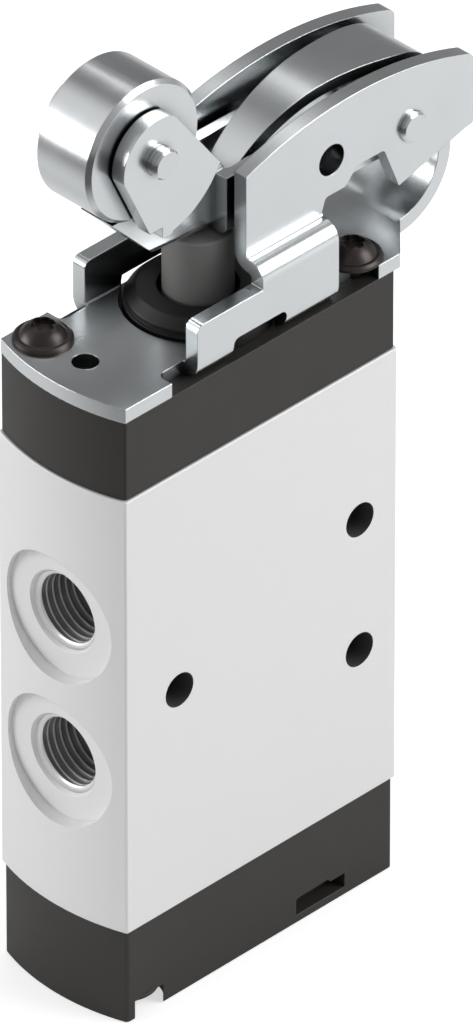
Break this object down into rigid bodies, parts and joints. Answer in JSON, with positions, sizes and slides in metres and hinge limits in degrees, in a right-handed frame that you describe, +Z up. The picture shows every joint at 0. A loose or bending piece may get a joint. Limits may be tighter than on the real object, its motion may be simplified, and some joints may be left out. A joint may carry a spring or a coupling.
{
  "type": "roller lever air valve",
  "caption": "Roller lever pneumatic valve: slab aluminium body, dark end caps, threaded ports, cross holes, formed steel bracket, sprung lever and roller on a pin.",
  "frame": {"origin": "centre of the housing's flat underside", "axes": "+Z up along the spool and plunger, X across the narrow width, -Y towards the two-port face and the roller, +Y towards the three-port face and the lever's pivot"},
  "size_m": [0.0272, 0.0802, 0.1628],
  "materials": {
    "valve_body": "satin extruded",
    "dark_cap": "fine grained",
    "gasket": "matt",
    "black_collar": "smooth",
    "seal_rubber": "matt",
    "plunger_plastic": "smooth",
    "spool_aluminium": "polished",
    "cage_plastic": "smooth",
    "spring_steel": "bright",
    "plated_steel": "bright zinc plated",
    "screw_steel": "black oxide",
    "roller_steel": "turned",
    "pin_steel": "bright",
    "bush_bronze": "plain",
    "washer_plastic": "smooth"
  },
  "bodies": {
    "housing": {"valve_body": "valve_body", "top_cap": "dark_cap", "bottom_cap": "dark_cap", "top_gasket": "gasket", "bottom_gasket": "gasket", "guide_collar": "black_collar", "wiper_ring": "seal_rubber", "spool_seals": "seal_rubber", "seal_cages": "cage_plastic", "return_spring": "spring_steel", "bracket": "plated_steel", "bracket_screws": "screw_steel", "bottom_cap_screws": "screw_steel", "pivot_pin": "pin_steel", "pivot_washers": "washer_plastic"},
    "lever": {"lever_channel": "plated_steel", "lever_strap": "plated_steel", "roller_fork": "plated_steel", "roller_pin": "pin_steel", "roller_washers": "washer_plastic"},
    "roller": {"roller": "roller_steel", "roller_bush": "bush_bronze"},
    "plunger": {"plunger": "plunger_plastic"},
    "spool": {"spool": "spool_aluminium"}
  },
  "joints": [
    {"name": "lever_hinge", "type": "hinge", "parent": "housing", "child": "lever", "pos_m": [0, 0.0357, 0.13235], "axis": [1, 0, 0], "range_deg": [0, 6.3], "stiffness_Nm_per_rad": 3.4, "springref_deg": -10.89},
    {"name": "roller_spin", "type": "hinge", "parent": "lever", "child": "roller", "pos_m": [0, -0.0169, 0.151], "axis": [1, 0, 0], "continuous": true},
    {"name": "plunger_slide", "type": "slide", "parent": "housing", "child": "plunger", "axis": [0, 0, -1], "range_m": [0, 0.0038]},
    {"name": "spool_slide", "type": "slide", "parent": "housing", "child": "spool", "axis": [0, 0, -1], "range_m": [0, 0.0038], "deforming": ["return_spring"]}
  ],
  "couplings": [
    {"joint": "plunger_slide", "follows": "lever_hinge", "m_per_rad": 0.0342},
    {"joint": "spool_slide", "follows": "lever_hinge", "m_per_rad": 0.0342}
  ]
}
